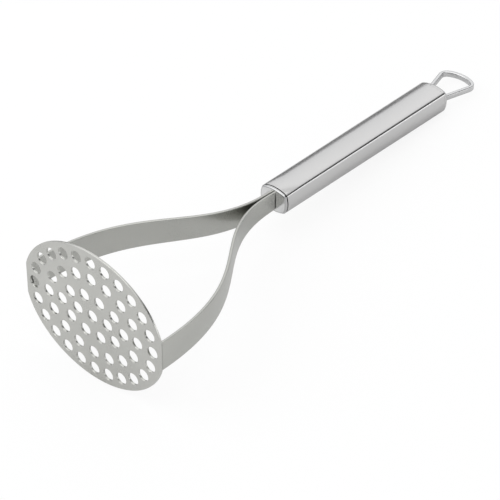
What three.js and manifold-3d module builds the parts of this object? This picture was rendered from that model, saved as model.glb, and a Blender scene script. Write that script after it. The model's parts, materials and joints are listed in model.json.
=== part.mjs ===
// Oval-plate potato masher in stainless steel, lying on a table as it is put down after use.
// Millimetres. The tool is drawn along its own axis: +Z runs from the mashing plate to the
// hanging loop, +X across the arms, +Y through the thin side of the handle. The last section
// lays it down, with +Z up, and puts the origin under the middle of its bounding box.

import * as THREE from 'three';
import * as BufferGeometryUtils from 'three/addons/utils/BufferGeometryUtils.js';
import Module from 'manifold-3d';

const wasm = await Module();
wasm.setup();

// ---- driving dimensions ----

// mashing plate: an oval sheet, its front face at z = 0
const plateHalfWidth = 43.5;
const plateHalfHeight = 35.7;
const plateThickness = 1.2;
const holeRadius = 3.05;
const plateFlatX = 42.7;

// arms: two tapered strips that bend inwards and meet back to back
const stripThickness = 1.5;
const stripWidthAtPlate = 15.8;
const stripWidthAtCap = 10.2;
const stripBelly = 0.95;
const armBow = 1.2;
const armLowBendZ = 69;
const armHighBendZ = 71;
const armJoinZ = 117.4;
const tangWidth = 7.6;
const tangEndZ = 153;

// handle: an oval tube that grows a little towards its rear end
const capFrontZ = 122;
const handleRearZ = 248.5;
const frontHalfWidth = 8.4;
const frontHalfHeight = 6.7;
const rearScale = 1.06;
const ovalExponent = 3.2;
const wall = 0.8;
const gap = 0.3;

// front cap: pressed sheet with a rounded rim, a slot for the arms and a skirt inside the tube
const capRim = 0.9;
const capBand = 0.3;
const capFace = 1.0;
const capThickness = capRim + capBand;
const skirtLength = 6;
const skirtInset = wall + gap + 0.05;

// rear cap: pressed sheet with rounded corners and its own skirt
const rearCapDepth = 3.2;
const rearCapRound = 2.4;
const rearCapWall = 1.2;

// hanging loop: flat bar bent into a rounded triangle, given by its centre line
const loopBar = 2.0;
const loopDepth = 3.2;
const loopLegHalfGap = 4.6;
const loopShoulderX = 10.2;
const loopShoulderZ = 268;
const loopCrownZ = 271.5;
const loopCrownHalf = 4.25;
const loopCornerCut = 3.2;
const loopTangLength = 8;
const legSlotClearance = 0.6;

// weld beads
const plateBeadLeg = 1.3;
const tangBeadLeg = 1.4;
const loopBeadWidth = 1.2;
const loopBeadLength = 2.5;

// how far a cutting shape runs past the face it cuts
const through = 1;

// ---- materials ----

const satinSheet = new THREE.MeshStandardMaterial({ color: 0xb9bab6, roughness: 0.42, metalness: 1 });
const satinStrip = new THREE.MeshStandardMaterial({ color: 0xa9a9a1, roughness: 0.38, metalness: 1 });
const brushedTube = new THREE.MeshStandardMaterial({ color: 0xc6c6c6, roughness: 0.34, metalness: 1 });
const pressedCap = new THREE.MeshStandardMaterial({ color: 0xbcbcbe, roughness: 0.26, metalness: 1 });
const polishedBar = new THREE.MeshStandardMaterial({ color: 0xd6d6d6, roughness: 0.14, metalness: 1 });
const weldMetal = new THREE.MeshStandardMaterial({ color: 0x9c9b97, roughness: 0.5, metalness: 1 });

// ---- shapes and solids ----

function ovalShape(halfWidth, halfHeight, exponent, count) {
  const points = [];
  for (let i = 0; i < count; i++) {
    const angle = (2 * Math.PI * i) / count;
    const c = Math.cos(angle);
    const s = Math.sin(angle);
    points.push(new THREE.Vector2(
      halfWidth * Math.sign(c) * Math.abs(c) ** (2 / exponent),
      halfHeight * Math.sign(s) * Math.abs(s) ** (2 / exponent),
    ));
  }
  return new THREE.Shape(points);
}

// The handle's section, inset from its outer face and grown by the taper.
function handleOval(inset, scale = 1) {
  return ovalShape(frontHalfWidth * scale - inset, frontHalfHeight * scale - inset, ovalExponent, 72);
}

function prism(shape, z0, z1) {
  const geometry = new THREE.ExtrudeGeometry(shape, { depth: z1 - z0, bevelEnabled: false, curveSegments: 10 });
  geometry.translate(0, 0, z0);
  return geometry;
}

// A flat bar bent along a centre line in the X-Z plane, as wide in Y as widthAt says at each point.
function bentStrip(centreLine, thickness, widthAt) {
  const steps = centreLine.length - 1;
  const section = new THREE.Shape([
    new THREE.Vector2(-0.5, -0.5),
    new THREE.Vector2(0.5, -0.5),
    new THREE.Vector2(0.5, 0.5),
    new THREE.Vector2(-0.5, 0.5),
  ]);
  const geometry = new THREE.ExtrudeGeometry(section, { depth: steps, steps, bevelEnabled: false });
  const position = geometry.attributes.position;
  for (let i = 0; i < position.count; i++) {
    const station = Math.round(position.getZ(i));
    const point = centreLine[station];
    const before = centreLine[Math.max(station - 1, 0)];
    const after = centreLine[Math.min(station + 1, steps)];
    const normal = after.clone().sub(before).normalize().rotateAround(new THREE.Vector2(), -Math.PI / 2);
    const across = position.getX(i) * thickness;
    const y = position.getY(i) * widthAt(point.y);
    position.setXYZ(i, point.x + normal.x * across, y, point.y + normal.y * across);
  }
  return geometry;
}

// Extrudes an X-Z outline across Y, centred on the tool's middle plane.
function crossPrism(shape, width) {
  return prism(shape, -width / 2, width / 2).rotateX(Math.PI / 2);
}

function toSolid(geometry) {
  const bare = geometry.clone();
  bare.deleteAttribute('normal');
  bare.deleteAttribute('uv');
  const merged = BufferGeometryUtils.mergeVertices(bare, 1e-5);
  return new wasm.Manifold(new wasm.Mesh({
    numProp: 3,
    vertProperties: new Float32Array(merged.attributes.position.array),
    triVerts: new Uint32Array(merged.index.array),
  }));
}

function toGeometry(solid) {
  const mesh = solid.getMesh();
  const geometry = new THREE.BufferGeometry();
  geometry.setAttribute('position', new THREE.BufferAttribute(mesh.vertProperties, 3));
  geometry.setIndex(new THREE.BufferAttribute(mesh.triVerts, 1));
  return geometry;
}

function box(x0, x1, y0, y1, z0, z1) {
  const geometry = new THREE.BoxGeometry(x1 - x0, y1 - y0, z1 - z0);
  geometry.translate((x0 + x1) / 2, (y0 + y1) / 2, (z0 + z1) / 2);
  return geometry;
}

function part(name, geometry, material) {
  const mesh = new THREE.Mesh(geometry, material);
  mesh.name = name;
  return mesh;
}

function mirroredAcrossX(geometry) {
  const mirrored = geometry.index ? geometry.toNonIndexed() : geometry.clone();
  mirrored.scale(-1, 1, 1);
  const position = mirrored.attributes.position;
  for (let i = 0; i < position.count; i += 3) {
    const a = new THREE.Vector3().fromBufferAttribute(position, i + 1);
    const b = new THREE.Vector3().fromBufferAttribute(position, i + 2);
    position.setXYZ(i + 1, b.x, b.y, b.z);
    position.setXYZ(i + 2, a.x, a.y, a.z);
  }
  return mirrored;
}

// ---- mashing plate ----

// Holes stand on three oval rings, evenly spaced along each ring, and on a middle row of three.
const holeRings = [
  { halfWidth: 37.6, halfHeight: 30.0, count: 24 },
  { halfWidth: 28.2, halfHeight: 20.7, count: 16 },
  { halfWidth: 19.6, halfHeight: 10.1, count: 10 },
];
const middleRowPitch = 9.4;

function ringPoints({ halfWidth, halfHeight, count }) {
  const ring = new THREE.EllipseCurve(0, 0, halfWidth, halfHeight);
  ring.arcLengthDivisions = 720;
  return ring.getSpacedPoints(count).slice(0, count);
}

const plateOutlineMargin = 0.4;

function plateShape() {
  const rootHalfWidth = stripWidthAtPlate / 2;
  const count = 144;
  const points = [];
  for (let i = 0; i < count; i++) {
    const angle = (2 * Math.PI * i) / count;
    const x = plateHalfWidth * Math.cos(angle);
    const y = plateHalfHeight * Math.sin(angle);
    if (Math.abs(y) < rootHalfWidth + plateOutlineMargin) continue;
    points.push(new THREE.Vector2(x, y));
  }
  // a straight end where each arm stands, the full width of the strip
  const corners = [
    [plateFlatX, -rootHalfWidth], [plateFlatX, rootHalfWidth],
    [-plateFlatX, rootHalfWidth], [-plateFlatX, -rootHalfWidth],
  ];
  corners.forEach(([x, y]) => points.push(new THREE.Vector2(x, y)));
  points.sort((p, q) => Math.atan2(p.y, p.x) - Math.atan2(q.y, q.x));
  return new THREE.Shape(points);
}

function mashPlate() {
  const shape = plateShape();
  const middleRow = [-middleRowPitch, 0, middleRowPitch].map((x) => new THREE.Vector2(x, 0));
  const centres = [...middleRow, ...holeRings.flatMap(ringPoints)];
  for (const centre of centres) {
    shape.holes.push(new THREE.Path().absarc(centre.x, centre.y, holeRadius, 0, 2 * Math.PI, true));
  }
  return part('mash_plate', prism(shape, 0, plateThickness), satinSheet);
}

// ---- arms ----

const armRootZ = plateThickness + gap;
const armRootX = plateFlatX - stripThickness / 2;
const tangX = (stripThickness + gap) / 2;
const shoulderZ = capFrontZ - gap;

// Each arm leaves the plate square, sweeps inwards in one long S and ends in a straight tang.
function armCentreLine() {
  const bend = new THREE.CubicBezierCurve(
    new THREE.Vector2(armRootX, armRootZ),
    new THREE.Vector2(armRootX + armBow, armLowBendZ),
    new THREE.Vector2(tangX, armHighBendZ),
    new THREE.Vector2(tangX, armJoinZ),
  );
  const tang = [shoulderZ, shoulderZ + 0.02, tangEndZ].map((z) => new THREE.Vector2(tangX, z));
  return [...bend.getPoints(56), ...tang];
}

// The strip narrows from the plate to the cap, and steps down to the tang that enters the cap.
function stripWidth(z) {
  if (z > shoulderZ + 0.01) return tangWidth;
  const run = z / capFrontZ;
  const taper = stripWidthAtPlate + (stripWidthAtCap - stripWidthAtPlate) * run;
  return taper + stripBelly * 4 * run * (1 - run);
}

function arms() {
  const strip = bentStrip(armCentreLine(), stripThickness, stripWidth);
  return [
    part('arm_right', strip, satinStrip),
    part('arm_left', mirroredAcrossX(strip), satinStrip),
  ];
}

// A small triangular bead in the corner between the plate's back and each arm.
function plateWelds() {
  const innerX = armRootX - stripThickness / 2 - gap;
  const bead = new THREE.Shape([
    new THREE.Vector2(innerX, armRootZ),
    new THREE.Vector2(innerX, armRootZ + plateBeadLeg),
    new THREE.Vector2(innerX - plateBeadLeg, armRootZ),
  ]);
  const geometry = crossPrism(bead, stripWidthAtPlate - 1);
  return [
    part('plate_weld_right', geometry, weldMetal),
    part('plate_weld_left', mirroredAcrossX(geometry), weldMetal),
  ];
}

// ---- front cap ----

const slotHalfWidth = stripThickness + gap * 1.5;
const slotHalfHeight = tangWidth / 2 + gap;
const tubeFrontZ = capFrontZ + capThickness + gap;

function frontCap() {
  const disc = new THREE.ExtrudeGeometry(handleOval(capRim), {
    depth: capRim,
    bevelSize: capRim,
    bevelThickness: capRim,
    bevelSegments: 5,
  });
  disc.translate(0, 0, capFrontZ + capRim);
  const backZ = capFrontZ + capThickness;
  const behind = prism(handleOval(-through), backZ, backZ + 2 * capRim);
  const skirtEnd = backZ + skirtLength;
  const skirt = prism(handleOval(skirtInset), capFrontZ + capRim, skirtEnd);
  const hollow = prism(handleOval(skirtInset + wall), capFrontZ + capFace, skirtEnd + through);
  const slot = box(
    -slotHalfWidth, slotHalfWidth, -slotHalfHeight, slotHalfHeight,
    capFrontZ - through, backZ + through,
  );
  const cap = toSolid(disc).subtract(toSolid(behind)).add(toSolid(skirt))
    .subtract(toSolid(hollow)).subtract(toSolid(slot));
  return part('front_cap', toGeometry(cap), pressedCap);
}

// Beads along the slot inside the cap, one outside each tang.
function tangWelds() {
  const innerX = tangX + stripThickness / 2 + gap;
  const backZ = capFrontZ + capFace + gap;
  const bead = new THREE.Shape([
    new THREE.Vector2(innerX, backZ),
    new THREE.Vector2(innerX + tangBeadLeg, backZ),
    new THREE.Vector2(innerX, backZ + tangBeadLeg),
  ]);
  const geometry = crossPrism(bead, tangWidth - 1);
  return [
    part('tang_weld_right', geometry, weldMetal),
    part('tang_weld_left', mirroredAcrossX(geometry), weldMetal),
  ];
}

// ---- handle tube and rear cap ----

const rearCapFrontZ = handleRearZ - rearCapDepth;
const tubeRearZ = rearCapFrontZ - gap;

function handleTube() {
  const shape = handleOval(0);
  shape.holes.push(new THREE.Path(handleOval(wall).getPoints().reverse()));
  const geometry = prism(shape, tubeFrontZ, tubeRearZ);
  const position = geometry.attributes.position;
  for (let i = 0; i < position.count; i++) {
    const run = (position.getZ(i) - tubeFrontZ) / (tubeRearZ - tubeFrontZ);
    const scale = 1 + (rearScale - 1) * run;
    position.setX(i, position.getX(i) * scale);
    position.setY(i, position.getY(i) * scale);
  }
  return part('handle_tube', geometry, brushedTube);
}

function loopLegCut(side) {
  const x = side * loopLegHalfGap;
  const halfWidth = loopBar / 2 + legSlotClearance;
  const halfDepth = loopDepth / 2 + gap;
  const z0 = handleRearZ - rearCapWall - through;
  return box(x - halfWidth, x + halfWidth, -halfDepth, halfDepth, z0, handleRearZ + through);
}

function rearCap() {
  const dome = new THREE.ExtrudeGeometry(handleOval(rearCapRound, rearScale), {
    depth: rearCapDepth,
    bevelSize: rearCapRound,
    bevelThickness: rearCapRound,
    bevelSegments: 7,
  });
  dome.translate(0, 0, handleRearZ - rearCapRound - rearCapDepth);
  const domeFrontZ = handleRearZ - 2 * rearCapRound - rearCapDepth;
  const inFront = prism(handleOval(-through, rearScale), domeFrontZ - through, rearCapFrontZ);
  const skirtStart = rearCapFrontZ - skirtLength;
  const skirt = prism(handleOval(skirtInset, rearScale), skirtStart, rearCapFrontZ + through);
  const hollow = prism(handleOval(rearCapRound, rearScale), skirtStart - through, handleRearZ - rearCapWall);
  const cap = toSolid(dome).subtract(toSolid(inFront)).add(toSolid(skirt)).subtract(toSolid(hollow))
    .subtract(toSolid(loopLegCut(1))).subtract(toSolid(loopLegCut(-1)));
  return part('rear_cap', toGeometry(cap), pressedCap);
}

// ---- hanging loop ----

// The bar's centre line: up one leg, round a corner, over the crown, and back down.
function loopCentreLine() {
  const legStart = new THREE.Vector2(loopLegHalfGap, handleRearZ - loopTangLength);
  const legExit = new THREE.Vector2(loopLegHalfGap, handleRearZ - rearCapWall);
  const shoulder = new THREE.Vector2(loopShoulderX, loopShoulderZ);
  const crownEdge = new THREE.Vector2(loopCrownHalf, loopCrownZ);
  const crown = new THREE.Vector2(0, loopCrownZ);
  const legDirection = shoulder.clone().sub(legExit).normalize();
  const crownDirection = crownEdge.clone().sub(shoulder).normalize();
  const cornerStart = shoulder.clone().addScaledVector(legDirection, -loopCornerCut);
  const cornerEnd = shoulder.clone().addScaledVector(crownDirection, loopCornerCut);
  const corner = new THREE.QuadraticBezierCurve(cornerStart, shoulder, cornerEnd).getPoints(8);
  const arch = new THREE.QuadraticBezierCurve(cornerEnd, crownEdge, crown).getPoints(10);
  const half = [legStart, legExit, ...corner, ...arch.slice(1)];
  const otherHalf = half.slice(0, -1).reverse().map((point) => new THREE.Vector2(-point.x, point.y));
  return [...half, ...otherHalf];
}

function hangingLoop() {
  const geometry = bentStrip(loopCentreLine(), loopBar, () => loopDepth);
  return part('hanging_loop', geometry, polishedBar);
}

// A bead beside each leg, inside the rear cap.
function loopWelds() {
  const innerX = loopLegHalfGap - loopBar / 2 - gap;
  const z1 = handleRearZ - rearCapWall - gap;
  const bead = box(innerX - loopBeadWidth, innerX, -loopDepth / 2, loopDepth / 2, z1 - loopBeadLength, z1);
  return [
    part('loop_weld_right', bead, weldMetal),
    part('loop_weld_left', mirroredAcrossX(bead), weldMetal),
  ];
}

// ---- assembly ----

const tool = new THREE.Group();
tool.add(
  mashPlate(), ...arms(), ...plateWelds(), frontCap(), ...tangWelds(),
  handleTube(), rearCap(), hangingLoop(), ...loopWelds(),
);

// Lying down, the tool touches the table with the plate's rim and with whichever of the
// handle's rear edge and the loop's end comes down first.
function restAngle() {
  const handleEdge = { z: handleRearZ - rearCapRound, drop: frontHalfHeight * rearScale };
  const loopEdge = { z: loopCrownZ + loopBar / 2, drop: loopDepth / 2 };
  const angles = [handleEdge, loopEdge].map(
    ({ z, drop }) => Math.atan2(plateHalfHeight - drop, z - plateThickness),
  );
  return Math.min(...angles);
}
tool.rotation.set(-Math.PI / 2 - restAngle(), 0, Math.PI);

const masher = new THREE.Group();
masher.add(tool);
masher.updateMatrixWorld(true);
const bounds = new THREE.Box3().setFromObject(masher, true);
const centre = bounds.getCenter(new THREE.Vector3());
tool.position.set(-centre.x, -centre.y, -bounds.min.z);

export default masher;
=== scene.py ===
import json
import math

import bmesh
import bpy
from mathutils import Matrix, Quaternion, Vector


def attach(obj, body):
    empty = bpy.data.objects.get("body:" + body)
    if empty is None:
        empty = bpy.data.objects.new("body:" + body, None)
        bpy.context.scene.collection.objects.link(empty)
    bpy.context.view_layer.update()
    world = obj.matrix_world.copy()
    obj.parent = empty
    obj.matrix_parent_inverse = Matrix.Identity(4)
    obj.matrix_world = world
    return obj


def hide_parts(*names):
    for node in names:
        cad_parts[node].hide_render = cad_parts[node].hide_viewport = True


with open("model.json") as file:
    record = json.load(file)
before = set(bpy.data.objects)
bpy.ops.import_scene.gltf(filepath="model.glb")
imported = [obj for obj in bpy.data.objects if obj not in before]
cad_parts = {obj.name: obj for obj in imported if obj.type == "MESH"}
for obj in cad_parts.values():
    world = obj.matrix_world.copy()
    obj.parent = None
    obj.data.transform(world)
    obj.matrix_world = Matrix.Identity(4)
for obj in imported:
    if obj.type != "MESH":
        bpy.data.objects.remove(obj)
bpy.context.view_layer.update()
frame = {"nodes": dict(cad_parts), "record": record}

nodes = frame["nodes"]
MM = 0.001


# ---- Mashing plate ----
# An oval stainless sheet, punched with round holes on three oval rings and a middle row of
# three. The punch leaves each hole and the outer edge slightly rounded, and the sheet has a
# fine satin grain. The tool's own axes start here: z runs from this plate to the hanging loop.

face_mount = next(m for m in frame["record"]["mounts"] if m["name"] == "mash_face")
face_out = Vector(face_mount["axis"])
MOUNT_ABOVE_CENTRE = 14 * MM
tool_z = -face_out
tool_y = Vector((0, -tool_z.z, tool_z.y))
tool_x = tool_y.cross(tool_z)
face_centre = Vector(face_mount["pos_m"]) - tool_y * MOUNT_ABOVE_CENTRE
tool_turn = Matrix((tool_x, tool_y, tool_z)).transposed().to_4x4()
tool_frame = Matrix.Translation(face_centre) @ tool_turn
tool_tilt = math.atan2(tool_z.z, tool_z.y)


def tool_span(node):
    """Lowest and highest corners of a CAD node along the tool's own axes."""
    back = tool_frame.inverted()
    points = [back @ v.co for v in nodes[node].data.vertices]
    low = Vector(min(p[i] for p in points) for i in range(3))
    high = Vector(max(p[i] for p in points) for i in range(3))
    return low, high


def steel_finish():
    """Fine directional grain, broad handling marks and small tone changes on worked steel."""
    group = bpy.data.node_groups.new("steel_finish", "ShaderNodeTree")
    face = group.interface
    face.new_socket("Grain Place", in_out="INPUT", socket_type="NodeSocketVector")
    face.new_socket("Smudge Place", in_out="INPUT", socket_type="NodeSocketVector")
    for name in ("Light", "Dark"):
        face.new_socket(name, in_out="INPUT", socket_type="NodeSocketColor")
    for name in ("Grain Scale", "Smudge Scale", "Rough Low", "Rough High", "Grain Tone"):
        face.new_socket(name, in_out="INPUT", socket_type="NodeSocketFloat")
    face.new_socket("Color", in_out="OUTPUT", socket_type="NodeSocketColor")
    face.new_socket("Roughness", in_out="OUTPUT", socket_type="NodeSocketFloat")
    face.new_socket("Height", in_out="OUTPUT", socket_type="NodeSocketFloat")
    given = group.nodes.new("NodeGroupInput")
    result = group.nodes.new("NodeGroupOutput")
    link = group.links.new

    grain = group.nodes.new("ShaderNodeTexNoise")
    grain.inputs["Detail"].default_value = 3
    grain.inputs["Roughness"].default_value = 0.6
    link(given.outputs["Grain Place"], grain.inputs["Vector"])
    link(given.outputs["Grain Scale"], grain.inputs["Scale"])
    smudge = group.nodes.new("ShaderNodeTexNoise")
    smudge.inputs["Detail"].default_value = 1.5
    smudge.inputs["Roughness"].default_value = 0.5
    link(given.outputs["Smudge Place"], smudge.inputs["Vector"])
    link(given.outputs["Smudge Scale"], smudge.inputs["Scale"])

    tone = group.nodes.new("ShaderNodeMath")
    tone.operation = "SUBTRACT"
    tone.inputs[1].default_value = 0.5
    link(grain.outputs["Fac"], tone.inputs[0])
    weighted = group.nodes.new("ShaderNodeMath")
    weighted.operation = "MULTIPLY"
    link(tone.outputs[0], weighted.inputs[0])
    link(given.outputs["Grain Tone"], weighted.inputs[1])
    both = group.nodes.new("ShaderNodeMath")
    both.operation = "ADD"
    both.use_clamp = True
    link(weighted.outputs[0], both.inputs[0])
    link(smudge.outputs["Fac"], both.inputs[1])
    colour = group.nodes.new("ShaderNodeMix")
    colour.data_type = "RGBA"
    link(both.outputs[0], colour.inputs["Factor"])
    link(given.outputs["Dark"], colour.inputs["A"])
    link(given.outputs["Light"], colour.inputs["B"])
    link(colour.outputs["Result"], result.inputs["Color"])

    rough = group.nodes.new("ShaderNodeMapRange")
    rough.inputs["From Min"].default_value = 0.3
    rough.inputs["From Max"].default_value = 0.7
    link(both.outputs[0], rough.inputs["Value"])
    link(given.outputs["Rough Low"], rough.inputs["To Min"])
    link(given.outputs["Rough High"], rough.inputs["To Max"])
    link(rough.outputs["Result"], result.inputs["Roughness"])
    link(grain.outputs["Fac"], result.inputs["Height"])
    return group


finish_group = steel_finish()


def worked_steel(name, light, dark, stretch, grain, smudge, rough, tone, bump):
    """Bare steel. stretch lengthens the grain along the tool; grain and smudge are per metre."""
    material = bpy.data.materials.new(name)
    material.use_nodes = True
    tree = material.node_tree
    shader = tree.nodes["Principled BSDF"]
    shader.inputs["Metallic"].default_value = 1.0
    place = tree.nodes.new("ShaderNodeTexCoord")
    turn = tree.nodes.new("ShaderNodeMapping")
    turn.vector_type = "POINT"
    turn.inputs["Rotation"].default_value = (-tool_tilt, 0, 0)
    turn.inputs["Scale"].default_value = (1, 1 / stretch, 1)
    drift = tree.nodes.new("ShaderNodeMapping")
    drift.vector_type = "POINT"
    drift.inputs["Rotation"].default_value = (-tool_tilt, 0, 0)
    drift.inputs["Scale"].default_value = (1, 1 / math.sqrt(stretch), 1)
    finish = tree.nodes.new("ShaderNodeGroup")
    finish.node_tree = finish_group
    finish.inputs["Light"].default_value = (*light, 1)
    finish.inputs["Dark"].default_value = (*dark, 1)
    finish.inputs["Grain Scale"].default_value = grain
    finish.inputs["Smudge Scale"].default_value = smudge
    finish.inputs["Rough Low"].default_value = rough[0]
    finish.inputs["Rough High"].default_value = rough[1]
    finish.inputs["Grain Tone"].default_value = tone
    relief = tree.nodes.new("ShaderNodeBump")
    relief.inputs["Strength"].default_value = 1.0
    relief.inputs["Distance"].default_value = bump
    link = tree.links.new
    link(place.outputs["Object"], turn.inputs["Vector"])
    link(turn.outputs["Vector"], finish.inputs["Grain Place"])
    link(place.outputs["Object"], drift.inputs["Vector"])
    link(drift.outputs["Vector"], finish.inputs["Smudge Place"])
    link(finish.outputs["Color"], shader.inputs["Base Color"])
    link(finish.outputs["Roughness"], shader.inputs["Roughness"])
    link(finish.outputs["Height"], relief.inputs["Height"])
    link(relief.outputs["Normal"], shader.inputs["Normal"])
    return material


plate_steel = worked_steel(
    "plate_steel", light=(0.61, 0.61, 0.58), dark=(0.50, 0.50, 0.475), stretch=1.0,
    grain=2600, smudge=60, rough=(0.26, 0.36), tone=0.5, bump=0.000012)

PLATE_HALF_WIDTH = 43.9 * MM
PLATE_HALF_HEIGHT = 35.7 * MM
PLATE_FLAT_X = 42.7 * MM
PLATE_LIP = 0.22 * MM
HOLE_RADIUS = 3.05 * MM
# each ring's half width and half height in millimetres, and its number of holes
HOLE_RINGS = ((37.6, 30.0, 24), (28.2, 20.7, 16), (19.6, 10.1, 10))
MIDDLE_ROW_PITCH = 9.4 * MM
MIDDLE_ROW_HOLES = 3
HOLE_POINTS = 32
SPREAD_POINTS = 720
OVAL_POINTS = 288
MERGE_DISTANCE = 0.002 * MM
plate_low, plate_high = tool_span("mash_plate")
plate_thickness = plate_high.z - plate_low.z


def sheet_edge_profile():
    """The line over a sheet's edge: a rounded lip, the cut wall, and a lip again."""
    steps = 4
    quarter = [math.pi / 2 * i / steps for i in range(steps + 1)]
    front = [(PLATE_LIP * (1 - math.sin(a)), PLATE_LIP * (1 - math.cos(a)), 0) for a in quarter]
    rear = [(x, plate_thickness - y, 0) for x, y, _ in reversed(front)]
    points = front + rear
    mesh = bpy.data.meshes.new("sheet_edge_profile")
    mesh.from_pydata(points, [(i, i + 1) for i in range(len(points) - 1)], [])
    return mesh


def perforated_sheet():
    """An oval sheet with round holes spread evenly along oval rings."""
    tree = bpy.data.node_groups.new("perforated_sheet", "GeometryNodeTree")
    face = tree.interface
    face.new_socket("Edge Profile", in_out="INPUT", socket_type="NodeSocketGeometry")
    sizes = [
        ("Half Width", PLATE_HALF_WIDTH), ("Half Height", PLATE_HALF_HEIGHT),
        ("Flat X", PLATE_FLAT_X), ("Thickness", plate_thickness), ("Lip", PLATE_LIP),
        ("Hole Radius", HOLE_RADIUS), ("Row Pitch", MIDDLE_ROW_PITCH)]
    for i, (half_width, half_height, _) in enumerate(HOLE_RINGS):
        sizes.append((f"Ring {i + 1} Half Width", half_width * MM))
        sizes.append((f"Ring {i + 1} Half Height", half_height * MM))
    for name, value in sizes:
        face.new_socket(name, in_out="INPUT", socket_type="NodeSocketFloat").default_value = value
    for i, (_, _, count) in enumerate(HOLE_RINGS):
        socket = face.new_socket(f"Ring {i + 1} Holes", in_out="INPUT", socket_type="NodeSocketInt")
        socket.default_value = count
    face.new_socket("Steel", in_out="INPUT", socket_type="NodeSocketMaterial")
    face.new_socket("Sheet", in_out="OUTPUT", socket_type="NodeSocketGeometry")
    given = tree.nodes.new("NodeGroupInput")
    result = tree.nodes.new("NodeGroupOutput")
    link = tree.links.new

    def node(kind, **settings):
        made = tree.nodes.new(kind)
        for key, value in settings.items():
            setattr(made, key, value)
        return made

    def vector(x=None, y=None, z=None):
        made = node("ShaderNodeCombineXYZ")
        for axis, value in zip("XYZ", (x, y, z)):
            if isinstance(value, (int, float)):
                made.inputs[axis].default_value = value
            elif value is not None:
                link(value, made.inputs[axis])
        return made.outputs["Vector"]

    def scaled(geometry, size=None, shift=None):
        made = node("GeometryNodeTransform")
        link(geometry, made.inputs["Geometry"])
        if size is not None:
            link(size, made.inputs["Scale"])
        if shift is not None:
            link(shift, made.inputs["Translation"])
        return made.outputs["Geometry"]

    def circle(points, radius=None):
        made = node("GeometryNodeCurvePrimitiveCircle")
        made.inputs["Resolution"].default_value = points
        made.inputs["Radius"].default_value = 1.0
        if radius is not None:
            link(radius, made.inputs["Radius"])
        return made.outputs["Curve"]

    def upright(curve):
        made = node("GeometryNodeSetCurveNormal", mode="Z_UP")
        link(curve, made.inputs["Curve"])
        return made.outputs["Curve"]

    def swept(curve, profile):
        made = node("GeometryNodeCurveToMesh")
        link(curve, made.inputs["Curve"])
        link(profile, made.inputs["Profile Curve"])
        return made.outputs["Mesh"]

    def math_of(operation, a, b):
        made = node("ShaderNodeMath", operation=operation)
        for slot, value in zip(made.inputs, (a, b)):
            if isinstance(value, (int, float)):
                slot.default_value = value
            else:
                link(value, slot)
        return made.outputs[0]

    def joined(*pieces):
        made = node("GeometryNodeJoinGeometry")
        for piece in pieces:
            link(piece, made.inputs["Geometry"])
        return made.outputs["Geometry"]

    def stamped(points, instance):
        made = node("GeometryNodeInstanceOnPoints")
        link(points, made.inputs["Points"])
        link(instance, made.inputs["Instance"])
        real = node("GeometryNodeRealizeInstances")
        link(made.outputs["Instances"], real.inputs["Geometry"])
        return real.outputs["Geometry"]

    edge = node("GeometryNodeMeshToCurve")
    link(given.outputs["Edge Profile"], edge.inputs["Mesh"])
    flip = scaled(edge.outputs["Curve"], size=vector(-1, -1, 1))
    turned = scaled(edge.outputs["Curve"], size=vector(1, -1, 1))

    # where the holes stand
    rings = []
    for i in range(len(HOLE_RINGS)):
        size = vector(given.outputs[f"Ring {i + 1} Half Width"],
                      given.outputs[f"Ring {i + 1} Half Height"], 1.0)
        spread = node("GeometryNodeResampleCurve")
        link(scaled(circle(SPREAD_POINTS), size=size), spread.inputs["Curve"])
        link(given.outputs[f"Ring {i + 1} Holes"], spread.inputs["Count"])
        rings.append(spread.outputs["Curve"])
    row = node("GeometryNodeMeshLine")
    row.inputs["Count"].default_value = MIDDLE_ROW_HOLES
    row_start = vector(math_of("MULTIPLY", given.outputs["Row Pitch"], -1.0))
    link(row_start, row.inputs["Start Location"])
    link(vector(given.outputs["Row Pitch"]), row.inputs["Offset"])
    places = joined(*rings, row.outputs["Mesh"])

    # the punched walls, and the sheet's own edge
    wall = swept(upright(circle(HOLE_POINTS, given.outputs["Hole Radius"])), turned)
    walls = stamped(places, wall)
    oval = scaled(circle(OVAL_POINTS),
                  size=vector(given.outputs["Half Width"], given.outputs["Half Height"], 1.0))
    clip = node("GeometryNodeSetPosition")
    spot = node("GeometryNodeInputPosition")
    split = node("ShaderNodeSeparateXYZ")
    link(spot.outputs["Position"], split.inputs["Vector"])
    low = math_of("MULTIPLY", given.outputs["Flat X"], -1.0)
    kept_x = math_of("MAXIMUM", split.outputs["X"], low)
    kept_x = math_of("MINIMUM", kept_x, given.outputs["Flat X"])
    link(oval, clip.inputs["Geometry"])
    link(vector(kept_x, split.outputs["Y"], 0.0), clip.inputs["Position"])
    outline = upright(clip.outputs["Geometry"])
    rim = swept(outline, flip)

    # the two flat faces, inside the lips
    inset = node("GeometryNodeSetPosition")
    facing = node("GeometryNodeInputNormal")
    back = node("ShaderNodeVectorMath", operation="SCALE")
    link(facing.outputs["Normal"], back.inputs[0])
    link(math_of("MULTIPLY", given.outputs["Lip"], -1.0), back.inputs["Scale"])
    link(outline, inset.inputs["Geometry"])
    link(back.outputs["Vector"], inset.inputs["Offset"])
    wide = circle(HOLE_POINTS, math_of("ADD", given.outputs["Hole Radius"], given.outputs["Lip"]))
    openings = stamped(places, wide)
    fill = node("GeometryNodeFillCurve", mode="NGONS")
    link(joined(inset.outputs["Geometry"], openings), fill.inputs["Curve"])
    rear = scaled(fill.outputs["Mesh"], shift=vector(0.0, 0.0, given.outputs["Thickness"]))

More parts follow.
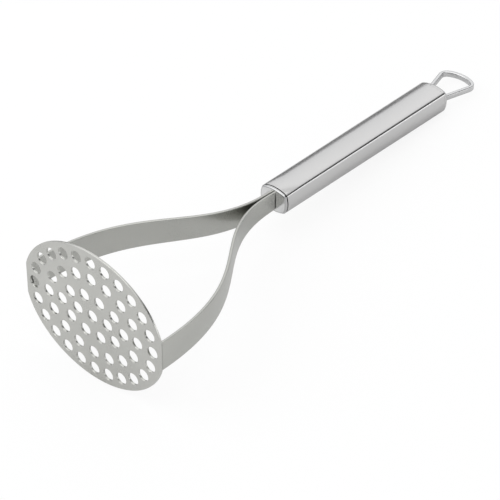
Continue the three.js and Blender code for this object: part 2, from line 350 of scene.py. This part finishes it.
    smooth = node("GeometryNodeSetShadeSmooth")
    link(joined(walls, rim), smooth.inputs["Geometry"])
    flat = node("GeometryNodeSetShadeSmooth")
    flat.inputs["Shade Smooth"].default_value = False
    link(joined(fill.outputs["Mesh"], rear), flat.inputs["Geometry"])
    weld = node("GeometryNodeMergeByDistance")
    weld.inputs["Distance"].default_value = MERGE_DISTANCE
    link(joined(smooth.outputs["Geometry"], flat.outputs["Geometry"]), weld.inputs["Geometry"])
    real = node("GeometryNodeRealizeInstances")
    link(weld.outputs["Geometry"], real.inputs["Geometry"])
    paint = node("GeometryNodeSetMaterial")
    link(real.outputs["Geometry"], paint.inputs["Geometry"])
    link(given.outputs["Steel"], paint.inputs["Material"])
    link(paint.outputs["Geometry"], result.inputs["Sheet"])
    return tree


def outward(mesh):
    """Turns every face of a closed mesh outwards."""
    shell = bmesh.new()
    shell.from_mesh(mesh)
    bmesh.ops.recalc_face_normals(shell, faces=shell.faces)
    shell.to_mesh(mesh)
    shell.free()


def into_place(mesh, name, slot, *replaced):
    """Lays a mesh drawn on the tool's axes down in the frame, and books it as a piece."""
    mesh.transform(tool_frame)
    piece = bpy.data.objects.new(name, mesh)
    bpy.context.scene.collection.objects.link(piece)
    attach(piece, "root")
    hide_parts(*replaced)


blank = bpy.data.objects.new("plate_blank", sheet_edge_profile())
bpy.context.scene.collection.objects.link(blank)
press = blank.modifiers.new("press", "NODES")
press.node_group = perforated_sheet()
for item in press.node_group.interface.items_tree:
    if item.name == "Steel":
        press[item.identifier] = plate_steel
evaluated = blank.evaluated_get(bpy.context.evaluated_depsgraph_get())
plate_mesh = bpy.data.meshes.new_from_object(evaluated)
bpy.data.objects.remove(blank)
outward(plate_mesh)
into_place(plate_mesh, "mashing_plate", "plate_steel", "mash_plate")


# ---- Arms ----
# Two flat stainless strips, cut with a long taper and bent in one S. Each stands on the
# plate's straight end and is welded there; at the handle they lie back to back and enter the
# cap's slot as narrower tangs. The sheared edges are lightly broken.

strip_steel = worked_steel(
    "strip_steel", light=(0.57, 0.572, 0.54), dark=(0.40, 0.402, 0.38), stretch=14.0,
    grain=5200, smudge=30, rough=(0.27, 0.37), tone=0.6, bump=0.000004)

STRIP_THICKNESS = 1.5 * MM
STRIP_WIDTH_AT_PLATE = 15.8 * MM
STRIP_WIDTH_AT_CAP = 10.2 * MM
STRIP_BELLY = 0.95 * MM
STRIP_EDGE = 0.5 * MM
TANG_WIDTH = 7.6 * MM
ARM_BOW = 1.2 * MM
ARM_LOW_BEND_Z = 69 * MM
ARM_HIGH_BEND_Z = 71 * MM
ARM_JOIN_Z = 117.4 * MM
ARM_STEPS = 96
ARM_ROOT_GAP = 0.02 * MM
SHOULDER_GAP = 0.05 * MM
SHOULDER_STEP = 0.02 * MM
SHARP_ANGLE = math.radians(32)
arm_low, arm_high = tool_span("arm_right")
arm_root_x = PLATE_FLAT_X - STRIP_THICKNESS / 2
arm_root_z = plate_thickness + ARM_ROOT_GAP
tang_x = arm_low.x + STRIP_THICKNESS / 2
cap_low, cap_high = tool_span("front_cap")
shoulder_z = cap_low.z - SHOULDER_GAP


def bezier(p0, p1, p2, p3, steps):
    """Points along a curve from p0 to p3 that leans on p1 and p2."""
    points = []
    for i in range(steps + 1):
        t = i / steps
        u = 1 - t
        points.append(u ** 3 * p0 + 3 * u * u * t * p1 + 3 * u * t * t * p2 + t ** 3 * p3)
    return points


def rounded_bar(thickness, width, edge):
    """A flat bar's section, thickness along the first axis, with rounded edges."""
    steps = 4
    corners = ((1, 1, 0), (-1, 1, 90), (-1, -1, 180), (1, -1, 270))
    section = []
    for sx, sy, start in corners:
        for i in range(steps + 1):
            a = math.radians(start + 90 * i / steps)
            section.append((sx * (thickness / 2 - edge) + edge * math.cos(a),
                            sy * (width / 2 - edge) + edge * math.sin(a)))
    return section


def skinned(name, rings, wrapped=False):
    """A closed mesh over rings of equal count, capped, or wrapped from the last to the first."""
    count = len(rings[0])
    verts = [p for ring in rings for p in ring]
    faces = []
    spans = len(rings) if wrapped else len(rings) - 1
    for i in range(spans):
        a = i * count
        b = (i + 1) % len(rings) * count
        for j in range(count):
            k = (j + 1) % count
            faces.append((a + j, a + k, b + k, b + j))
    if not wrapped:
        faces.append(tuple(reversed(range(count))))
        faces.append(tuple((len(rings) - 1) * count + j for j in range(count)))
    mesh = bpy.data.meshes.new(name)
    mesh.from_pydata(verts, [], faces)
    outward(mesh)
    mesh.shade_smooth()
    mesh.set_sharp_from_angle(angle=SHARP_ANGLE)
    return mesh


def bar_rings(line, section_at):
    """Sections set square to a centre line that lies in the tool's x-z plane."""
    rings = []
    for i, point in enumerate(line):
        ahead = line[min(i + 1, len(line) - 1)] - line[max(i - 1, 0)]
        along = Vector((ahead.x, 0, ahead.z)).normalized()
        across = Vector((along.z, 0, -along.x))
        rings.append([point + across * s + Vector((0, w, 0)) for s, w in section_at(point)])
    return rings


def strip_section(point):
    """The strip's section at a point of its centre line: a long taper, then the tang."""
    run = min(point.z / cap_low.z, 1)
    width = STRIP_WIDTH_AT_PLATE + (STRIP_WIDTH_AT_CAP - STRIP_WIDTH_AT_PLATE) * run
    width += STRIP_BELLY * 4 * run * (1 - run)
    if point.z > shoulder_z + SHOULDER_STEP / 2:
        width = TANG_WIDTH
    return rounded_bar(STRIP_THICKNESS, width, STRIP_EDGE)


arm_line = bezier(
    Vector((arm_root_x, 0, arm_root_z)), Vector((arm_root_x + ARM_BOW, 0, ARM_LOW_BEND_Z)),
    Vector((tang_x, 0, ARM_HIGH_BEND_Z)), Vector((tang_x, 0, ARM_JOIN_Z)), ARM_STEPS)
for z in (shoulder_z, shoulder_z + SHOULDER_STEP, arm_high.z):
    arm_line.append(Vector((tang_x, 0, z)))

for name, side in (("arm_right", 1), ("arm_left", -1)):
    rings = [[Vector((p.x * side, p.y, p.z)) for p in ring]
             for ring in bar_rings(arm_line, strip_section)]
    mesh = skinned(name + "_strip", rings)
    mesh.materials.append(strip_steel)
    into_place(mesh, name + "_strip", "strip_steel", name)


# ---- Weld beads ----
# Small fused beads hold the strips to the plate, the tangs to the front cap and the loop's
# legs to the rear cap. They are the frame's own solids, a little duller than the sheet.

weld_steel = worked_steel(
    "weld_steel", light=(0.76, 0.76, 0.73), dark=(0.60, 0.60, 0.58), stretch=1.0,
    grain=1500, smudge=300, rough=(0.45, 0.65), tone=0.8, bump=0.00006)

for joint in ("plate_weld", "tang_weld", "loop_weld"):
    for side in ("left", "right"):
        bead = nodes[f"{joint}_{side}"]
        bead.data.materials.clear()
        bead.data.materials.append(weld_steel)


# ---- Front cap ----
# A pressed stainless cap with a rounded, polished rim. It closes the tube's front end, its
# skirt slides inside the tube, and the two strips pass through its slot.

cap_steel = worked_steel(
    "cap_steel", light=(0.80, 0.80, 0.80), dark=(0.68, 0.68, 0.68), stretch=1.0,
    grain=3000, smudge=120, rough=(0.16, 0.24), tone=0.4, bump=0.000005)

# painted shade: the rim's steel is a darker copy of the face's steel, which dims the highlights on
# the rounded rim
painted_shade_rim = worked_steel(
    "painted_shade_rim", light=(0.54, 0.54, 0.54), dark=(0.44, 0.44, 0.44), stretch=1.0,
    grain=3000, smudge=150, rough=(0.10, 0.16), tone=0.3, bump=0.000002)

# painted shade: much darker than bare steel, laid on the groove behind the rim, the slot's walls
# and the hidden insides of the cap and the tube, so that the groove shows as a dark line
painted_shade_steel = worked_steel(
    "painted_shade_steel", light=(0.10, 0.10, 0.10), dark=(0.05, 0.05, 0.05), stretch=1.0,
    grain=2000, smudge=300, rough=(0.5, 0.7), tone=0.5, bump=0.00002)

HALF_WIDTH = 8.4 * MM
HALF_HEIGHT = 6.7 * MM
TOP_ARC = 17.7 * MM
SIDE_ARC = 12.5 * MM
CORNER_ARC = 2.0 * MM
TUBE_WALL = 0.8 * MM
CAP_RIM = 0.9 * MM
SIDE_STEPS = 10
CORNER_STEPS = 12
TOP_STEPS = 14


def handle_section(inset=0.0, scale=1.0):
    """The handle's outline: gently crowned top and sides that meet in tight corners."""
    top = Vector((0, HALF_HEIGHT - TOP_ARC))
    side = Vector((HALF_WIDTH - SIDE_ARC, 0))
    reach_top, reach_side = TOP_ARC - CORNER_ARC, SIDE_ARC - CORNER_ARC
    gap = side - top
    d = gap.length
    a = (reach_top ** 2 - reach_side ** 2 + d * d) / (2 * d)
    h = math.sqrt(reach_top ** 2 - a * a)
    unit = gap / d
    corner = top + unit * a + Vector((-unit.y, unit.x)) * h
    if corner.x < 0 or corner.y < 0:
        corner = top + unit * a - Vector((-unit.y, unit.x)) * h
    side_end = math.atan2(corner.y - side.y, corner.x - side.x)
    top_end = math.atan2(corner.y - top.y, corner.x - top.x)
    quarter = []
    for centre, radius, a0, a1, steps in (
            (side, SIDE_ARC, 0, side_end, SIDE_STEPS),
            (corner, CORNER_ARC, side_end, top_end, CORNER_STEPS),
            (top, TOP_ARC, top_end, math.pi / 2, TOP_STEPS)):
        for i in range(steps):
            t = a0 + (a1 - a0) * i / steps
            n = Vector((math.cos(t), math.sin(t)))
            quarter.append((centre + n * radius, n))
    quarter.append((Vector((0, HALF_HEIGHT)), Vector((0, 1))))
    half = quarter + [(Vector((-p.x, p.y)), Vector((-n.x, n.y))) for p, n in reversed(quarter[:-1])]
    whole = half + [(Vector((p.x, -p.y)), Vector((n.x, -n.y))) for p, n in reversed(half[1:-1])]
    return [p * scale - n * inset for p, n in whole]


def flat_ring(points, z):
    """Outline points lifted to one height."""
    return [Vector((p.x, p.y, z)) for p in points]


def shrunk(share, z):
    """The handle's outline made smaller by a share, at one height."""
    return flat_ring([p * share for p in handle_section()], z)


def slot_ring(half_width, half_height, z):
    """The slot's rectangle, with one point for each point of the handle's outline."""
    ring = []
    for p in handle_section():
        a = math.atan2(p.y / HALF_HEIGHT, p.x / HALF_WIDTH)
        c, s = math.cos(a), math.sin(a)
        k = 1 / max(abs(c), abs(s))
        ring.append(Vector((half_width * c * k, half_height * s * k, z)))
    return ring


SLOT_HALF_WIDTH = 1.95 * MM
SLOT_HALF_HEIGHT = 4.1 * MM
CAP_THICKNESS = 1.2 * MM
CAP_SHEET = 1.0 * MM
SKIRT_SHARE = 0.86
SKIRT_INSIDE_SHARE = 0.77
face_z = cap_low.z
band_z = face_z + CAP_THICKNESS
rim_steps = 8
rings = [slot_ring(SLOT_HALF_WIDTH, SLOT_HALF_HEIGHT, face_z)]
for i in range(rim_steps + 1):
    a = math.pi / 2 * i / rim_steps
    inset, rise = CAP_RIM * (1 - math.sin(a)), CAP_RIM * (1 - math.cos(a))
    rings.append(flat_ring(handle_section(inset), face_z + rise))
rings += [
    flat_ring(handle_section(), band_z), shrunk(SKIRT_SHARE, band_z),
    shrunk(SKIRT_SHARE, cap_high.z), shrunk(SKIRT_INSIDE_SHARE, cap_high.z),
    shrunk(SKIRT_INSIDE_SHARE, face_z + CAP_SHEET),
    slot_ring(SLOT_HALF_WIDTH, SLOT_HALF_HEIGHT, face_z + CAP_SHEET)]
mesh = skinned("front_cap_pressing", rings, wrapped=True)
for steel in (cap_steel, painted_shade_rim, painted_shade_steel):
    mesh.materials.append(steel)
FACE, RIM, INSIDE = range(3)
outline_points = len(rings[0])
face_end = 1
rim_end = rim_steps + 2
# the step behind the rim, the skirt, the slot's walls and the inside take the near-black steel:
# painted shade in the groove and the slot
for polygon in mesh.polygons:
    span = polygon.index // outline_points
    if span < face_end:
        polygon.material_index = FACE
    elif span < rim_end:
        polygon.material_index = RIM
    else:
        polygon.material_index = INSIDE
into_place(mesh, "front_cap_pressing", "cap_steel", "front_cap")


# ---- Handle tube ----
# A thin-walled stainless tube, drawn to a soft rectangle that widens a little towards its
# rear end, and brushed along its length. Its front end is deburred.

tube_steel = worked_steel(
    "tube_steel", light=(0.64, 0.635, 0.63), dark=(0.48, 0.477, 0.474), stretch=26.0,
    grain=6000, smudge=40, rough=(0.17, 0.22), tone=0.8, bump=0.0000012)

TUBE_DEBURR = 0.12 * MM
REAR_SCALE = 1.06
DEBURR_STEPS = 3
TUBE_SPANS = 12
_, rear_high = tool_span("rear_cap")
REAR_CAP_DEPTH = 3.2 * MM
CAP_SEAM = 0.06 * MM
GROOVE = 0.7 * MM
tube_front_z = band_z + GROOVE
tube_rear_z = rear_high.z - REAR_CAP_DEPTH - CAP_SEAM


def tube_ring(inset, z):
    """The tube's outline at one height, on its way from the front's size to the rear's."""
    run = (z - tube_front_z) / (tube_rear_z - tube_front_z)
    return flat_ring(handle_section(inset, 1 + (REAR_SCALE - 1) * run), z)


rings = []
for i in range(DEBURR_STEPS + 1):
    a = math.pi / 2 * i / DEBURR_STEPS
    inset, rise = TUBE_DEBURR * (1 - math.sin(a)), TUBE_DEBURR * (1 - math.cos(a))
    rings.append(tube_ring(inset, tube_front_z + rise))
for i in range(1, TUBE_SPANS):
    rings.append(tube_ring(0, tube_front_z + (tube_rear_z - tube_front_z) * i / TUBE_SPANS))
outside_end = len(rings)
rings += [
    tube_ring(0, tube_rear_z), tube_ring(TUBE_WALL, tube_rear_z),
    tube_ring(TUBE_WALL, tube_front_z)]
mesh = skinned("brushed_tube", rings, wrapped=True)
mesh.materials.append(tube_steel)
mesh.materials.append(painted_shade_steel)
OUTSIDE, TUBE_PAINTED_SHADE = range(2)
# the tube's end walls and its inside take the near-black steel: painted shade, which darkens the
# groove at the tube's front end
for polygon in mesh.polygons:
    span = polygon.index // outline_points
    polygon.material_index = OUTSIDE if span < outside_end else TUBE_PAINTED_SHADE
into_place(mesh, "brushed_tube", "tube_steel", "handle_tube")


# ---- Rear cap ----
# A pressed cap with rounded corners, set flush on the tube, welded and brushed over so that
# only a hairline seam is left. The hanging loop's legs go into its end face.

REAR_ROUND = 2.4 * MM
REAR_CAP_WALL = 1.2 * MM
cap_start_z = rear_high.z - REAR_CAP_DEPTH
rings = [
    flat_ring(handle_section(TUBE_WALL, REAR_SCALE), cap_start_z),
    flat_ring(handle_section(0, REAR_SCALE), cap_start_z)]
round_steps = 10
for i in range(round_steps + 1):
    a = math.pi / 2 * i / round_steps
    height_share = 1 - REAR_ROUND * (1 - math.cos(a)) / (HALF_HEIGHT * REAR_SCALE)
    width_share = 1 - REAR_ROUND * (1 - math.cos(a)) / (HALF_WIDTH * REAR_SCALE)
    z = rear_high.z - REAR_ROUND * (1 - math.sin(a))
    rings.append([Vector((p.x * width_share, p.y * height_share, z))
                  for p in handle_section(0, REAR_SCALE)])
mesh = skinned("rear_cap_pressing", rings)
mesh.materials.append(tube_steel)
into_place(mesh, "rear_cap_pressing", "tube_steel", "rear_cap")


# ---- Hanging loop ----
# A flat stainless bar bent on edge into a rounded triangle and polished. Its two legs go
# through the rear cap and are welded inside.

loop_steel = worked_steel(
    "loop_steel", light=(0.66, 0.66, 0.66), dark=(0.56, 0.56, 0.56), stretch=1.0,
    grain=900, smudge=200, rough=(0.14, 0.19), tone=0.15, bump=0.0000005)

LOOP_BAR = 2.0 * MM
LOOP_DEPTH = 3.2 * MM
LOOP_EDGE = 0.6 * MM
LOOP_LEG_HALF_GAP = 4.6 * MM
LOOP_SHOULDER_X = 10.2 * MM
LOOP_SHOULDER_BACK = 4.5 * MM
LOOP_CROWN_HALF = 4.25 * MM
LOOP_CORNER_CUT = 3.2 * MM
BOW_STEPS = 16
loop_low, loop_high = tool_span("hanging_loop")
crown_z = loop_high.z - LOOP_BAR / 2
shoulder = Vector((LOOP_SHOULDER_X, 0, loop_high.z - LOOP_SHOULDER_BACK))
leg_exit = Vector((LOOP_LEG_HALF_GAP, 0, rear_high.z - REAR_CAP_WALL))
crown_edge = Vector((LOOP_CROWN_HALF, 0, crown_z))
crown = Vector((0, 0, crown_z))
corner_start = shoulder + (leg_exit - shoulder).normalized() * LOOP_CORNER_CUT
corner_end = shoulder + (crown_edge - shoulder).normalized() * LOOP_CORNER_CUT


def bow(p0, p1, p2):
    """A smooth bend from p0 to p2 that leans on p1."""
    points = []
    for i in range(BOW_STEPS + 1):
        t = i / BOW_STEPS
        points.append(p0.lerp(p1, t).lerp(p1.lerp(p2, t), t))
    return points


half_line = [Vector((LOOP_LEG_HALF_GAP, 0, loop_low.z)), leg_exit]
half_line += bow(corner_start, shoulder, corner_end)
half_line += bow(corner_end, crown_edge, crown)[1:]
loop_line = half_line + [Vector((-p.x, p.y, p.z)) for p in reversed(half_line[:-1])]
loop_section = rounded_bar(LOOP_BAR, LOOP_DEPTH, LOOP_EDGE)
mesh = skinned("hanging_loop_bar", bar_rings(loop_line, lambda point: loop_section))
mesh.materials.append(loop_steel)
into_place(mesh, "hanging_loop_bar", "loop_steel", "hanging_loop")


# ---- Table, light and camera ----
# A pale table that glows a little to the camera alone, and four soft panels: behind, above,
# in front and to the side. Two dark cards, seen only in reflections, draw the handle's edges.

FLOOR_SIZE = 8.0
FLOOR_TONE = 0.72
GLOW_STRENGTH = 1.02
GLOW_SHARE = 0.86


def board(name, width, height, paint):
    """A flat painted rectangle."""
    w, h = width / 2, height / 2
    mesh = bpy.data.meshes.new(name)
    mesh.from_pydata([(-w, -h, 0), (w, -h, 0), (w, h, 0), (-w, h, 0)], [], [(0, 1, 2, 3)])
    mesh.materials.append(paint)
    made = bpy.data.objects.new(name, mesh)
    bpy.context.scene.collection.objects.link(made)
    return made


floor_paint = bpy.data.materials.new("floor_paint")
floor_paint.use_nodes = True
floor_tree = floor_paint.node_tree
floor_shader = floor_tree.nodes["Principled BSDF"]
floor_shader.inputs["Base Color"].default_value = (FLOOR_TONE, FLOOR_TONE, FLOOR_TONE, 1)
floor_shader.inputs["Roughness"].default_value = 0.9
floor_shader.inputs["Specular IOR Level"].default_value = 0.1
glow = floor_tree.nodes.new("ShaderNodeEmission")
glow.inputs["Strength"].default_value = GLOW_STRENGTH
lift = floor_tree.nodes.new("ShaderNodeMixShader")
ray = floor_tree.nodes.new("ShaderNodeLightPath")
share = floor_tree.nodes.new("ShaderNodeMath")
share.operation = "MULTIPLY"
share.inputs[1].default_value = GLOW_SHARE
floor_tree.links.new(ray.outputs["Is Camera Ray"], share.inputs[0])
floor_tree.links.new(share.outputs[0], lift.inputs["Fac"])
floor_tree.links.new(floor_shader.outputs["BSDF"], lift.inputs[1])
floor_tree.links.new(glow.outputs["Emission"], lift.inputs[2])
floor_tree.links.new(lift.outputs["Shader"], floor_tree.nodes["Material Output"].inputs["Surface"])
floor = board("floor", FLOOR_SIZE, FLOOR_SIZE, floor_paint)

world = bpy.data.worlds.new("studio")
bpy.context.scene.world = world
world.use_nodes = True
sky = world.node_tree
height = sky.nodes.new("ShaderNodeSeparateXYZ")
toward = sky.nodes.new("ShaderNodeTexCoord")
ramp = sky.nodes.new("ShaderNodeValToRGB")
ramp.color_ramp.elements[0].position = 0.0
ramp.color_ramp.elements[0].color = (0.55, 0.56, 0.58, 1)
ramp.color_ramp.elements[1].position = 1.0
ramp.color_ramp.elements[1].color = (0.95, 0.95, 0.95, 1)
sky.links.new(toward.outputs["Generated"], height.inputs["Vector"])
sky.links.new(height.outputs["Z"], ramp.inputs["Fac"])
sky.links.new(ramp.outputs["Color"], sky.nodes["Background"].inputs["Color"])
sky.nodes["Background"].inputs["Strength"].default_value = 1.0


PANEL_AIM = Vector((0, 0, 0.02))


def soft_panel(name, place, size, power):
    """A rectangular lamp that faces the tool."""
    lamp = bpy.data.lights.new(name, "AREA")
    lamp.shape = "RECTANGLE"
    lamp.size, lamp.size_y = size
    lamp.energy = power
    panel = bpy.data.objects.new(name, lamp)
    panel.location = place
    panel.rotation_euler = (PANEL_AIM - Vector(place)).to_track_quat("-Z", "Y").to_euler()
    bpy.context.scene.collection.objects.link(panel)


soft_panel("back_panel", (-0.9, 1.1, 0.95), (2.2, 1.4), 4.0)
soft_panel("top_panel", (0.1, -0.1, 1.6), (1.6, 1.6), 7.2)
soft_panel("front_panel", (-0.75, -0.75, 1.0), (1.2, 1.2), 5.0)
soft_panel("side_panel", (1.5, 1.0, 0.12), (1.4, 0.5), 3.4)


def card_paint(name, tone):
    """Flat dark paint."""
    paint = bpy.data.materials.new(name)
    paint.use_nodes = True
    shader = paint.node_tree.nodes["Principled BSDF"]
    shader.inputs["Base Color"].default_value = (tone, tone, tone, 1)
    shader.inputs["Roughness"].default_value = 1.0
    return paint


CARD_AIM = Vector((0, 0.05, 0.02))


def dark_card(name, paint, place, size):
    """A dark card that faces the handle and that only reflections see."""
    card = board(name, *size, paint)
    card.location = place
    card.rotation_euler = (CARD_AIM - Vector(place)).to_track_quat("Z", "Y").to_euler()
    card.visible_camera = False
    card.visible_diffuse = False
    card.visible_shadow = False


dark_card("right_card", card_paint("card_black", 0.04), (0.88, 0.70, 0.62), (1.6, 0.62))
dark_card("left_card", card_paint("card_grey", 0.22), (-1.05, 0.70, 0.10), (1.5, 0.40))

CAMERA_LENS = 152.3
CAMERA_SENSOR = 36
CAMERA_PLACE = Vector((0.54374, -0.56371, 0.68781))
CAMERA_LOOK = Vector((-0.53064, 0.52015, -0.66923))
CAMERA_ROLL = math.radians(-5.336)
camera_data = bpy.data.cameras.new("camera")
camera_data.lens = CAMERA_LENS
camera_data.sensor_width = CAMERA_SENSOR
camera_data.clip_start = 0.05
camera = bpy.data.objects.new("camera", camera_data)
camera.location = CAMERA_PLACE
camera.rotation_mode = "QUATERNION"
camera_roll = Quaternion((0, 0, 1), CAMERA_ROLL)
camera.rotation_quaternion = CAMERA_LOOK.to_track_quat("-Z", "Y") @ camera_roll
bpy.context.scene.collection.objects.link(camera)
bpy.context.scene.camera = camera
bpy.context.scene.view_settings.view_transform = "Standard"
